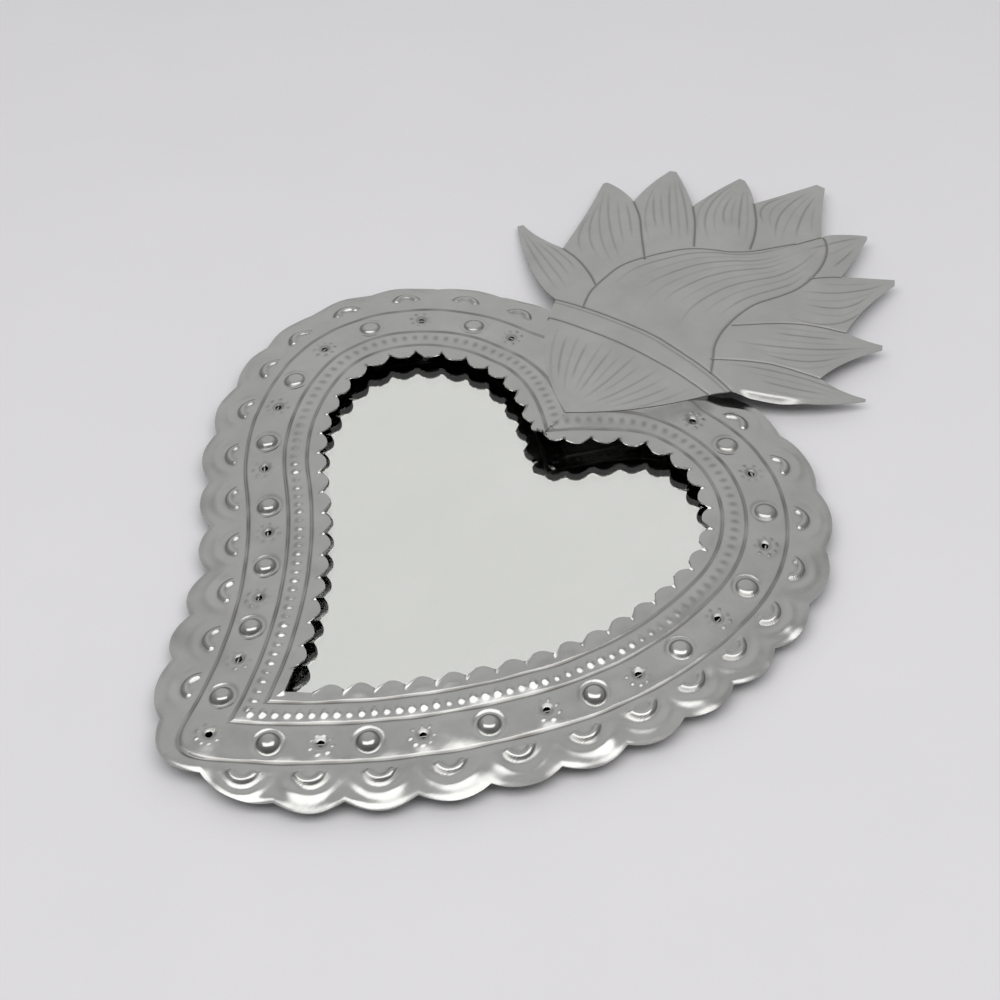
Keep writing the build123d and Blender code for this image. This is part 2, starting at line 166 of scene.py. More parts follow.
def read_off(chain, x, y):
    """Length along the guide and offset of one point of the sheet."""
    found = []
    begin = 0.0
    for k, arc in enumerate(chain):
        angle = math.degrees(math.atan2(y - arc.y, x - arc.x))
        angle += 360 * round((arc.start + arc.turn / 2 - angle) / 360)
        share = (angle - arc.start) / arc.turn
        low = -2.5 if k == 0 else -1e-6
        high = 1.8 if arc is chain[-1] else 1 + 1e-6
        if low <= share <= high:
            offset = (math.hypot(x - arc.x, y - arc.y) - arc.radius) * arc.bulge
            found.append((begin + share * arc_length(arc), offset))
        begin += arc_length(arc)
    return min(found, key=lambda f: abs(f[1]))


def guide_of(chain, along, offset):
    """Guide length of a point at a length along an offset line, both from the guide's start."""
    begin = 0.0
    for arc in chain:
        stretch = (arc.radius + arc.bulge * offset) / arc.radius
        if along <= arc_length(arc) * stretch or arc is chain[-1]:
            return begin + along / stretch
        along -= arc_length(arc) * stretch
        begin += arc_length(arc)


def along_line(chain, length, offset):
    """Length along an offset line, from the guide's start, for guide lengths."""
    first = chain[0]
    knots = [-BEYOND, 0.0]
    marks = [-BEYOND * (first.radius + first.bulge * offset) / first.radius, 0.0]
    begin, mark = 0.0, 0.0
    for arc in chain:
        extra = BEYOND if arc is chain[-1] else 0.0
        stretch = (arc.radius + arc.bulge * offset) / arc.radius
        begin += arc_length(arc) + extra
        mark += (arc_length(arc) + extra) * stretch
        knots.append(begin)
        marks.append(mark)
    return np.interp(length, knots, marks)


def bow(start, end, height, count=14):
    """Points of an arc that stands off its chord by height, to the left of the way it runs."""
    dx, dy = end[0] - start[0], end[1] - start[1]
    chord = math.hypot(dx, dy)
    points = []
    for k in range(count + 1):
        t = k / count
        rise = height * (1 - (2 * t - 1) ** 2)
        points.append((start[0] + t * dx - rise * dy / chord, start[1] + t * dy + rise * dx / chord))
    return points


def lobe_share(chain, mark):
    """1 on the left lobe, where scallops are shallow and crescents lie further out, 0 elsewhere."""
    return 1 - min(max((mark - 150) / 60, 0), 1) if chain is LEFT else 0.0


def outer_edge(chain, centres, tip_valley, other_valley, side):
    """Offset of the scalloped edge for guide lengths."""
    beyond = centres[0] - (centres[1] - centres[0]) / 2
    marks = [beyond] + [(a + b) / 2 for a, b in zip(centres, centres[1:])]
    lifts = [LOBE_LIFT * lobe_share(chain, s) for s in marks] + [0.0]
    spread = [FOOT_SPREAD if chain is LEFT and s > FOOT_BEGINS else 0.0 for s in marks]
    valleys = [spot(chain, guide_of(chain, s, SCALLOP_LINE), SCALLOP_VALLEY + lift + more)
               for s, lift, more in zip(marks, lifts, spread)]
    valleys.append(tip_valley)
    rise = SCALLOP_PEAK - SCALLOP_VALLEY
    # The first scallop comes out from under the fan.
    root = spot(chain, 37.0, 14.0)
    points = bow(root, valleys[0], -side * 2.6)[:-1]
    for a, b, lift in zip(valleys, valleys[1:], lifts):
        points += bow(a, b, -side * (rise - lift))[:-1]
    other = RIGHT if chain is LEFT else LEFT
    for p in bow(tip_valley, other_valley, -side * TIP_SCALLOP_BULGE, 60):
        if read_off(chain, *p)[1] >= read_off(other, *p)[1]:
            points.append(p)
    table = sorted(read_off(chain, *p) for p in points)
    return np.array([t[0] for t in table]), np.array([t[1] for t in table])


def inner_edge(chain, side):
    """Offset of the petal edge for guide lengths, and the guide lengths of the notches."""
    start = read_off(chain, *cleft_point(NOTCH_LINE))[0]
    end = read_off(chain, *tip_point(NOTCH_LINE))[0]
    first = along_line(chain, start, NOTCH_LINE)
    last = along_line(chain, end, NOTCH_LINE)
    count = round((last - first) / PETAL_PITCH)
    lengths = np.linspace(start - 6, end + 6, 4000)
    marks = along_line(chain, lengths, NOTCH_LINE)
    cuts = (first + (last - first) * k / count for k in range(1, count))
    notches = [float(np.interp(cut, marks, lengths)) for cut in cuts]
    inner = [spot(chain, s, NOTCH_LINE) for s in notches]
    points = []
    for a, b in zip([CLEFT_NOTCH] + inner, inner):
        points += bow(a, b, side * PETAL_BULGE)[:-1]
    points += [inner[-1], tip_point(NOTCH_LINE)]
    table = sorted(read_off(chain, *p) for p in points)
    return np.array([t[0] for t in table]), np.array([t[1] for t in table]), [start] + notches + [end]


# ---------------------------------------------------------------- relief of the border
def swell(d, radius):
    """A smooth bump of height 1 at d = 0 that ends at the radius."""
    return np.clip(1 - (d / radius) ** 2, 0, 1) ** 2


def ridge(d, width):
    return np.exp(-(d / width) ** 2)


def step(x, low, high):
    t = np.clip((x - low) / (high - low), 0, 1)
    return t * t * (3 - 2 * t)


def sheet_wander(x, y, wave, seed):
    """Slow unevenness of hand-worked sheet: a few crossing waves, between -1 and 1."""
    rng = np.random.default_rng(seed)
    total = np.zeros_like(x)
    for _ in range(9):
        angle = rng.uniform(0, math.pi)
        pitch = wave * rng.uniform(0.7, 1.6)
        phase = rng.uniform(0, 2 * math.pi)
        total += np.sin(2 * math.pi * (x * math.cos(angle) + y * math.sin(angle)) / pitch + phase)
    return total / 4.5


def border_height(offset):
    return GUIDE_HEIGHT - BORDER_SLOPE * offset - BORDER_ARCH * offset ** 2


def cleft_lift(chain, x, y):
    """How far each lobe is bent up towards the cleft."""
    crest = chain[1].x
    side = 1 if chain is LEFT else -1
    run_in = side * (x - crest)
    full = side * (cleft_point(0)[0] - crest)
    soft = 4.0
    eased = np.where(run_in > soft, run_in, np.clip(run_in + soft, 0, None) ** 2 / (4 * soft))
    return np.where(y > -45, CLEFT_RISE * eased / full, 0.0)


SIDES = {
    "left": (LEFT, 1, LEFT_SCALLOPS, TIP_VALLEYS[0], TIP_VALLEYS[1], LEFT_DOMES, LEFT_HOLES),
    "right": (RIGHT, -1, RIGHT_SCALLOPS, TIP_VALLEYS[1], TIP_VALLEYS[0], RIGHT_DOMES, RIGHT_HOLES),
}


def rounded_offset(chain, x, y, offset):
    """Offset with the corner at the tip rounded off, for the outer groove."""
    other = (RIGHT if chain is LEFT else LEFT)[-1]
    across = (np.hypot(x - other.x, y - other.y) - other.radius) * other.bulge
    across = np.where(y < -110, across, -40)
    blend = 13.0
    h = np.clip(blend - np.abs(offset - across), 0, None) / blend
    return np.maximum(offset, across) + h * h * blend / 4


def groove_profile(offset, line):
    """A chased line with the sheet rolling into it from both sides."""
    aside = offset - line
    return -GROOVE_DEPTH * ridge(aside, GROOVE_WIDTH) - ROLL_DEPTH * ridge(aside, ROLL_WIDTH)


def groove_shade_and_dirt(offset, line):
    """Dirt and painted shade along both edges of a chased line."""
    aside = np.abs(offset - line)
    return 0.72 * ridge(aside - 0.4, 0.27) + 0.3 * ridge(aside, 0.3)


def beads(chain, length, offset):
    marks = along_line(chain, length, RIB_LINE) / BEAD_PITCH
    which = np.floor(marks)
    rise = (0.48 + 0.16 * np.sin(which * 2.7) * np.sin(which * 1.3 + 1)) * struck_hard(length)
    along = (marks - which - 0.5) * BEAD_PITCH
    mark = swell(np.hypot(along, (offset - RIB_LINE) * 0.7), 1.5)
    # Lightly struck beads are coloured darker: painted shade where they show little relief.
    return rise * mark, (0.5 - 0.46 * struck_hard(length)) * mark


def struck_hard(length):
    """How hard the punches were struck: lightly round the lobes, fully towards the tip."""
    return 0.12 + 0.88 * step(length, 130, 195)


def funnel(d):
    return -FUNNEL_DEPTH * np.exp(-(d / FUNNEL_WIDTH) ** 2)


def nail_flower(x, y, centre, turn, mark_shade):
    """A nail hole punched from the front in a low swelling, with a ring of small punch marks, and
    painted shade round the hole and in the marks.
    """
    d = np.hypot(x - centre[0], y - centre[1])
    relief = SWELLING_RISE * swell(d, SWELLING_RADIUS) + funnel(d)
    # Painted shade: a dark ring round the rim of the funnel.
    shade_and_dirt = 0.4 * ridge(d - 1.8, 0.5)
    for k in range(PUNCH_MARKS):
        slip = math.sin(7.3 * k + turn)
        px, py = polar(*centre, PUNCH_RING + 0.35 * slip, 360 / PUNCH_MARKS * k + turn + 7 * slip)
        mark = swell(np.hypot(x - px, y - py), PUNCH_RADIUS)
        relief = relief + (0.20 + 0.08 * slip) * mark
        # Painted shade in each punch mark, heavier where the marks are struck lightly.
        shade_and_dirt = shade_and_dirt + mark_shade * (1 + 0.6 * slip) * mark
    return relief, shade_and_dirt


def dome_relief(x, y, centre, rise):
    """A dome with a steep side and a flatter top, in the shallow ring of its punch, with painted shade
    round its foot.
    """
    d = np.hypot(x - centre[0], y - centre[1])
    cap = rise * (1 - np.clip(d / DOME_RADIUS, 0, 1) ** 4)
    # Painted shade: a dark ring round the foot of the dome.
    return cap - 0.36 * ridge(d - 4.3, 0.8), 0.75 * ridge(d - DOME_RADIUS - 0.05, 0.3)


def crescent(chain, x, y, centre_length, offset):
    """A crescent punch, bowed outwards: steep outside, easy inside, with a soft fold beyond it, and
    painted shade along both sides.
    """
    px, py = spot(chain, centre_length, offset)
    ox, oy = spot(chain, centre_length, offset + 1)
    nx, ny = ox - px, oy - py
    a = (x - px) * ny - (y - py) * nx
    b = (x - px) * nx + (y - py) * ny + 3.6
    reach = np.hypot(a, b)
    turn = np.abs(np.arctan2(a, b))
    ends = 1 - step(turn, 1.15, 1.5)
    crest = step(reach, 2.2, 4.1) * (1 - np.clip((reach - 3.9) / 1.4, 0, 1) ** 2.2)
    front = 1 - step(turn, 0.7, 1.5)
    fold = -0.10 * ridge(reach - 6.8, 1.0) + 0.22 * ridge(reach - 8.8, 1.4)
    relief = CRESCENT_RISE * crest * ends + front * fold
    # Painted shade: a dark line at the foot of the steep outside, and a fainter one on the easy inside.
    return relief, (0.75 * ridge(reach - 5.25, 0.3) + 0.2 * ridge(reach - 2.7, 0.6)) * ends


def border_relief(half, chain, length, offset, x, y, notches, edge):
    """Everything pressed into the border, and the dirt and painted shade that lie in it."""
    scallops, domes, holes = SIDES[half][2], SIDES[half][5], SIDES[half][6]
    tip_line = rounded_offset(chain, x, y, offset)
    chased = list(zip((offset, offset, tip_line), GROOVES))
    z = sum(groove_profile(across, line) for across, line in chased)
    z *= 0.4 + 0.6 * struck_hard(length)
    # The chased lines are coloured darker along their edges: dirt and painted shade.
    shade_and_dirt = sum(groove_shade_and_dirt(across, line) for across, line in chased)
    shade_and_dirt *= 0.8 + 0.3 * sheet_wander(x, y, 11, 31)
    z += RIB_RISE * ridge(offset - RIB_LINE, RIB_WIDTH)
    punched = [beads(chain, length, offset)]
    for mark in domes:
        rise = DOME_RISE * (0.4 + 0.6 * struck_hard(mark))
        punched.append(dome_relief(x, y, spot(chain, mark, 0), rise))
    for k, mark in enumerate(holes):
        punched.append(nail_flower(x, y, spot(chain, mark, 0), 23 * k, 0.42 - 0.28 * struck_hard(mark)))
    punched.append(nail_flower(x, y, TIP_HOLE, 10, 0.14))
    for mark in scallops:
        place = guide_of(chain, mark, SCALLOP_LINE)
        row = CRESCENT_LINE + LOBE_CRESCENT_SHIFT * lobe_share(chain, mark)
        punched.append(crescent(chain, x, y, place, row))
    for relief, dark in punched:
        z += relief
        shade_and_dirt += dark
    # Petals are cupped, and the sheet curls up at each notch.
    spread = np.interp(length, notches, np.arange(len(notches)))
    share = spread - np.floor(spread)
    rim = step(-offset, 15.6, 18.6)
    z += rim * (PETAL_CUP * (1 - (2 * share - 1) ** 2) - 0.1)
    cut = np.minimum(share, 1 - share) * PETAL_PITCH
    z += NOTCH_CURL * ridge(cut, 0.55) * step(-offset, 16.6, 18.6)
    # The scalloped edge is rolled down a little and wavers.
    z -= (0.14 + 0.16 * sheet_wander(x, y, 24, 21)) * step(offset - edge, -2.6, 0.0) ** 2
    wander = 0.20 + 0.18 * step(offset, 7.5, 15)
    z += wander * sheet_wander(x, y, 17, 3) + 0.05 * sheet_wander(x, y, 7, 9)
    return z, np.clip(shade_and_dirt, 0, 1)


# The rows of the border's mesh, closest together where a line is chased.
PETAL_ROW = -15.6
BORDER_COLUMNS = 400
ROWS = np.concatenate([
    np.arange(NOTCH_LINE, PETAL_ROW, 0.45), np.arange(PETAL_ROW, -13.4, 0.32),
    np.arange(-13.4, -7.9, 0.37),
    np.arange(-7.9, -5.5, 0.32), np.arange(-5.5, 5.6, 0.4), np.arange(5.6, 8.2, 0.32),
    np.arange(8.2, 21.0, 0.45), [21.0]])


def sheet_grid(columns, rows):
    """A flat grid whose x and y run from 0 to 1."""
    bm = bmesh.new()
    bmesh.ops.create_grid(bm, x_segments=columns, y_segments=rows, size=0.5)
    bmesh.ops.translate(bm, verts=bm.verts, vec=(0.5, 0.5, 0))
    mesh = bpy.data.meshes.new("sheet")
    bm.to_mesh(mesh)
    bm.free()
    return mesh


def read_points(mesh):
    co = np.zeros(len(mesh.vertices) * 3)
    mesh.vertices.foreach_get("co", co)
    return co.reshape(-1, 3)


def write_points(mesh, x, y, z, shade_and_dirt=None):
    """Moves the points of a sheet, and keeps how much dirt and painted shade lies on each point."""
    mesh.vertices.foreach_set("co", np.stack([x, y, z], -1).ravel())
    if shade_and_dirt is not None:
        layer = mesh.attributes.new("shade_and_dirt", "FLOAT", "POINT")
        layer.data.foreach_set("value", shade_and_dirt.astype(np.float32))
    mesh.update()


BAND_LEFT = ((-35.5, 48.0), (-40.5, 59.5))
BAND_RIGHT = ((35.5, 50.5), (40.0, 57.5))
FAN_BOWS = (3.6, 2.3)


def beside_fan(x, y, corner, side, bulge):
    """Distance from one bowed edge of the fan, positive inside the fan."""
    dx, dy = corner[0] - FAN_TIP[0], corner[1] - FAN_TIP[1]
    length = math.hypot(dx, dy)
    along = np.clip(((x - FAN_TIP[0]) * dx + (y - FAN_TIP[1]) * dy) / length ** 2, 0, 1)
    inside = side * (dx * (y - FAN_TIP[1]) - dy * (x - FAN_TIP[0])) / length
    return inside + 4 * bulge * along * (1 - along)


def in_fan(x, y):
    left = beside_fan(x, y, BAND_LEFT[0], -1, FAN_BOWS[0])
    return np.minimum(left, beside_fan(x, y, BAND_RIGHT[0], 1, FAN_BOWS[1]))


def thicken(bm, name):
    """Brings a front skin to metres and gives it the sheet's thickness, backwards from its front."""
    bmesh.ops.scale(bm, vec=(MM, MM, MM), verts=bm.verts)
    skin = bpy.data.meshes.new(name)
    bm.to_mesh(skin)
    bm.free()
    piece = bpy.data.objects.new(name, skin)
    bpy.context.scene.collection.objects.link(piece)
    shell = piece.modifiers.new("thickness", "SOLIDIFY")
    shell.thickness = SHEET * MM
    shell.offset = -1
    bpy.context.view_layer.update()
    thick = piece.evaluated_get(bpy.context.evaluated_depsgraph_get())
    piece.data = bpy.data.meshes.new_from_object(thick)
    piece.modifiers.clear()
    bpy.data.meshes.remove(skin)
    piece.data.name = name
    return piece


def finish_piece(piece, finish):
    """Smooth faces with crisp cut edges, the finish, and a place on the mirror."""
    mesh = piece.data
    mesh.polygons.foreach_set("use_smooth", np.ones(len(mesh.polygons), bool))
    mesh.set_sharp_from_angle(angle=math.radians(58))
    mesh.materials.clear()
    mesh.materials.append(finish)
    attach(piece, "mirror")
    return piece


def border_part(name, half, begin, end):
    chain, side, scallops, valley, other, _, holes = SIDES[half]
    outer_s, outer_o = outer_edge(chain, scallops, valley, other, side)
    inner_s, inner_o, notches = inner_edge(chain, side)
    offsets = np.linspace(-24, 30, 55)
    starts = np.array([read_off(chain, *cleft_point(o))[0] for o in offsets])
    ends = np.array([read_off(chain, *tip_point(o))[0] for o in offsets])
    mesh = sheet_grid(BORDER_COLUMNS, len(ROWS) - 1)
    co = read_points(mesh)
    u = begin + (end - begin) * co[:, 0]
    row = ROWS[np.rint(co[:, 1] * (len(ROWS) - 1)).astype(int)]
    offset = row.copy()
    # Each point settles on its own row between the petals and the scallops, up to the mitres.
    for _ in range(40):
        length = np.interp(offset, offsets, starts) * (1 - u) + np.interp(offset, offsets, ends) * u
        lowest = np.interp(length, inner_s, inner_o)
        highest = np.interp(length, outer_s, outer_o)
        petal = PETAL_ROW + (row - PETAL_ROW) * (lowest - PETAL_ROW) / (NOTCH_LINE - PETAL_ROW)
        wanted = np.where(row < PETAL_ROW, petal, row)
        free = np.minimum(16, highest - 5)
        wanted = np.where(row > free, free + (row - free) * (highest - free) / (21 - free), wanted)
        offset += 0.4 * (wanted - offset)
    x, y = lay_out(chain, length, offset)
    z = border_height(offset) + cleft_lift(chain, x, y)
    relief, shade_and_dirt = border_relief(half, chain, length, offset, x, y, notches, highest)
    z += relief
    # Beside the fan the lobes come up to its edge, and drop away from it towards the band.
    fan_edge = -in_fan(x, y)
    away = np.hypot(x - FAN_TIP[0], y - FAN_TIP[1])
    hold = 1 - step(away, 42, 58) if side < 0 else 1 - 0.6 * step(away, 36, 58)
    meets = crown_height(x, y) - 0.35 - z
    z += meets * hold * (1 - step(fan_edge, -1.0, 8.0)) * (y > FAN_TIP[1] - 8)
    nail_holes = [spot(chain, mark, 0) for mark in holes] + [TIP_HOLE]
    gone = in_fan(x, y) > 1.6
    for hx, hy in nail_holes:
        gone |= np.hypot(x - hx, y - hy) < 0.95
    write_points(mesh, x, y, z, shade_and_dirt)
    bm = bmesh.new()
    bm.from_mesh(mesh)
    bpy.data.meshes.remove(mesh)
    bm.verts.ensure_lookup_table()
    bmesh.ops.delete(bm, geom=[bm.verts[i] for i in np.nonzero(gone)[0]], context="VERTS")
    if sum(f.normal.z for f in bm.faces) < 0:
        bmesh.ops.reverse_faces(bm, faces=bm.faces)
    for v in bm.verts:
        if v.is_boundary:
            for hx, hy in nail_holes:
                dx, dy = v.co.x - hx, v.co.y - hy
                d = math.hypot(dx, dy)
                if d < 1.55:
                    v.co.x, v.co.y = hx + NAIL_RADIUS * dx / d, hy + NAIL_RADIUS * dy / d
                    v.co.z += float(funnel(NAIL_RADIUS) - funnel(d))
    return thicken(bm, name)


PANE_LINE, PANE_CLEARANCE, PANE_BEVEL = -0.5, 0.06, 0.25


def mirror_pane():
    """The glass, cut to the box and just clear of its silvering, with a ground edge."""
    low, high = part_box("mirror_glass")
    count = 360
    bm = bmesh.new()
    bmesh.ops.create_circle(bm, cap_ends=True, segments=count, radius=1)
    bm.verts.ensure_lookup_table()
    edge = []
    for chain, way in ((LEFT, 1), (RIGHT, -1)):
        first = read_off(chain, *cleft_point(PANE_LINE))[0]
        last = read_off(chain, *tip_point(PANE_LINE))[0]
        lengths = np.linspace(first, last, count // 2 + 1)[:-1]
        x, y = lay_out(chain, lengths, np.full(lengths.shape, PANE_LINE))
        half = list(zip(x, y))
        edge += half if way > 0 else [tip_point(PANE_LINE)] + half[:0:-1]
    for v, (x, y) in zip(bm.verts, edge):
        v.co = (x, y, low.z / MM + PANE_CLEARANCE)
    bmesh.ops.recalc_face_normals(bm, faces=bm.faces)
    made = bmesh.ops.extrude_face_region(bm, geom=bm.faces[:])
    top = [g for g in made["geom"] if isinstance(g, bmesh.types.BMVert)]
    bmesh.ops.translate(bm, verts=top, vec=(0, 0, (high.z - low.z) / MM - PANE_CLEARANCE))
    upper = set(top)
    rim = [e for e in bm.edges if all(v in upper for v in e.verts)]
    bmesh.ops.bevel(
        bm, geom=rim, offset=PANE_BEVEL, segments=2, profile=0.5, affect="EDGES", material=-1)
    bmesh.ops.recalc_face_normals(bm, faces=bm.faces)
    bmesh.ops.scale(bm, vec=(MM, MM, MM), verts=bm.verts)
    mesh = bpy.data.meshes.new("mirror_pane")
    bm.to_mesh(mesh)
    bm.free()
    piece = bpy.data.objects.new("mirror_pane", mesh)
    bpy.context.scene.collection.objects.link(piece)
    mesh.materials.append(FINISHES["mirror_glass"])
    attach(piece, "mirror")
    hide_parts("mirror_glass")
    return piece


# ---------------------------------------------------------------- crown of flames
# Each flame: middle of its left edge, the two corners of its snipped tip,
# middle of its right edge, root.
FLAMES = (
    ((-60.0, 69.5), (-85.0, 90.5), (-83.5, 92.5), (-72.0, 88.6), (-59.5, 87.5)),
    ((-66.0, 109.5), (-74.0, 131.5), (-73.0, 133.0), (-64.5, 131.6), (-56.0, 128.0)),
    ((-57.4, 140.0), (-57.0, 153.5), (-54.5, 154.5), (-43.5, 146.0), (-34.5, 138.0)),
    ((-33.3, 151.0), (-31.0, 165.0), (-28.5, 165.0), (-21.5, 159.4), (-16.5, 154.0)),
    ((-10.0, 167.5), (-4.5, 180.0), (-0.5, 180.0), (9.0, 163.0), (16.0, 152.5)),
    ((22.0, 159.0), (29.0, 164.0), (30.0, 162.5), (33.3, 147.0), (35.0, 136.0)),
    ((42.5, 141.9), (51.0, 148.5), (52.5, 146.0), (51.6, 127.0), (53.5, 111.0)),
    ((60.5, 112.1), (67.0, 114.5), (68.0, 112.5), (62.0, 98.0), (59.5, 84.5)),
    ((68.5, 84.8), (77.0, 87.5), (77.5, 86.5), (60.5, 69.3), (40.0, 57.5)),
)
BAND_TOP = ((-40.5, 59.5), (-29, 61), (-14, 62), (1, 62.5), (14, 61.5), (28.5, 60), (40, 57.5))
BAND_FOOT = ((-35.5, 48.0), (-35, 49.5), (-14.5, 51), (4.5, 51.5), (20.5, 51.5), (35.5, 50.5))
SWEEP_LEFT = ((-29, 61), (-32.5, 70), (-33.5, 79), (-33.5, 88.5), (-31, 96), (-26, 105), (-19.5, 113.5),
              (-12.5, 118.5), (-6, 121.5), (0.5, 127), (6.5, 135.5), (11, 142), (16, 152.5))
SWEEP_RIGHT = ((29.5, 60), (26.5, 65.5), (22.5, 72), (20, 80), (19, 89), (19.5, 98.5), (21.5, 105.5),
               (25, 114), (27, 121), (27, 130.5), (25.5, 139), (22.5, 146), (18.5, 151), (16, 152.5))
CROWN_SEAM, CROWN_PITCH = -2.0, 0.42
# Lines between neighbouring flames, from the sweep out to the notch.
PARTINGS = (
    ((-34.0, 75), (-40.5, 79.5), (-50, 84.5), (-59.5, 87.5)),
    ((-28.5, 98.5), (-39, 110.5), (-47.5, 120.5), (-56, 128)),
    ((-18.5, 116.5), (-27, 129), (-34.5, 138)),
    ((-0.5, 128), (-4, 136), (-9, 144.5), (-16.5, 154)),
    ((11, 142), (16, 152.5)),
    ((27, 128), (32.5, 134), (35, 136)),
    ((20.5, 86), (34, 99.5), (42, 105.5), (53.5, 111)),
    ((25.5, 66), (39.5, 76.5), (49, 81), (59.5, 84.5)),
)


def flowing(points, count=40):
    """Points at even steps along a smooth line through the given ones."""
    p = [np.array(q, float) for q in points]
    p = [2 * p[0] - p[1]] + p + [2 * p[-1] - p[-2]]
    out = []
    for a, b, c, d in zip(p, p[1:], p[2:], p[3:]):
        for t in np.linspace(0, 1, 12, endpoint=False):
            out.append(0.5 * (2 * b + (c - a) * t + (2 * a - 5 * b + 4 * c - d) * t * t
                              + (3 * b - a - 3 * c + d) * t ** 3))
    out = np.array(out + [p[-2]])
    run = np.concatenate([[0], np.cumsum(np.hypot(*np.diff(out, axis=0).T))])
    even = np.linspace(0, run[-1], count)
    return np.stack([np.interp(even, run, out[:, 0]), np.interp(even, run, out[:, 1])], -1)


def nearness(x, y, line):
    """Distance of points from a line, and how far along it the nearest place is, from 0 to 1."""
    best = np.full(x.shape, 1e9)
    place = np.zeros(x.shape)
    last = len(line) - 1
    for k in range(last):
        (ax, ay), (bx, by) = line[k], line[k + 1]
        dx, dy = bx - ax, by - ay
        t = np.clip(((x - ax) * dx + (y - ay) * dy) / (dx * dx + dy * dy + 1e-12), 0, 1)
        d = np.hypot(x - ax - t * dx, y - ay - t * dy)
        closer = d < best
        best = np.where(closer, d, best)
        place = np.where(closer, (k + t) / last, place)
    return best, place


def crown_outline():
    """Outline of the crown, and which of its points are corners."""
    points = bow(FAN_TIP, BAND_LEFT[0], FAN_BOWS[0]) + [BAND_LEFT[1]]
    root = BAND_LEFT[1]
    corners = [FAN_TIP, *BAND_LEFT]
    for left, first, second, right, next_root in FLAMES:
        points += [tuple(p) for p in through(root, left, first)[1:]]
        points += [tuple(p) for p in through(second, right, next_root)]
        corners += [first, second, next_root]
        root = next_root
    points += bow(BAND_RIGHT[0], FAN_TIP, FAN_BOWS[1])[:-1]
    corners.append(BAND_RIGHT[0])
    return np.array(points), corners


def through(start, middle, end, count=14):
    """Points of a smooth bend through three points."""
    t = np.linspace(0, 1, count + 1)[:, None]
    a, b, c = (np.array(p, float) for p in (start, middle, end))
    return a * (1 - t) * (1 - 2 * t) + b * 4 * t * (1 - t) + c * t * (2 * t - 1)


def crown_height(x, y):
    d = np.hypot(x - FAN_TIP[0], y - FAN_TIP[1])
    return FAN_TIP_HEIGHT - CROWN_FALL * d + CROWN_LEAN * (y - FAN_TIP[1])


def flame_strokes():
    """Short chased strokes that run along each flame between its two edges."""
    lines = []
    foot = (-32.5, 70)
    for k, (left, first, second, right, root) in enumerate(FLAMES):
        if k == 0:
            left_side = flowing([BAND_LEFT[1], left, first])
            right_side = flowing([foot, *PARTINGS[0], right, second])
        elif k == 8:
            left_side = flowing([*PARTINGS[7], left, first])
            right_side = flowing([(36, 60), right, second])
        else:
            left_side = flowing([*PARTINGS[k - 1], left, first])
            right_side = flowing([*PARTINGS[k], right, second])
        count = (4, 6, 6, 7, 6, 3, 6, 7, 4)[k]
        for j in range(1, count + 1):
            q = j / (count + 1)
            wobble = 0.5 + 0.5 * math.sin(5.1 * j + 2.3 * k)
            low, high = int(3 + 9 * wobble), int(37 - 9 * wobble)
            middle = (low + high) // 2
            blend = left_side * (1 - q) + right_side * q
            lines.append(through(blend[low], blend[middle], blend[high], 20))
    left_side, right_side = flowing(SWEEP_LEFT, 60), flowing(SWEEP_RIGHT, 60)
    for j in range(1, 10):
        q = j / 10
        wobble = 0.5 + 0.5 * math.sin(4.3 * j)
        low, high = int(5 + 9 * wobble + 10 * abs(q - 0.5)), int(56 - 12 * wobble)
        lines.append((left_side * (1 - q) + right_side * q)[low:high])
    return lines


def fan_rays():
    lines = []
    foot = flowing(BAND_FOOT[1:], 60)
    for j in range(1, 14):
        q = j / 14
        end = foot[int(q * 59)]
        start = np.array(FAN_TIP)
        wobble = 0.5 + 0.5 * math.sin(3.7 * j)
        bend = np.array([-(end - start)[1], (end - start)[0]]) * 0.10 * (0.5 - q) * 2
        middle = (start + end) / 2 + bend
        lines.append(through(start, middle, end, 24)[5 + int(5 * wobble):24 - int(3 * wobble)])
    return lines


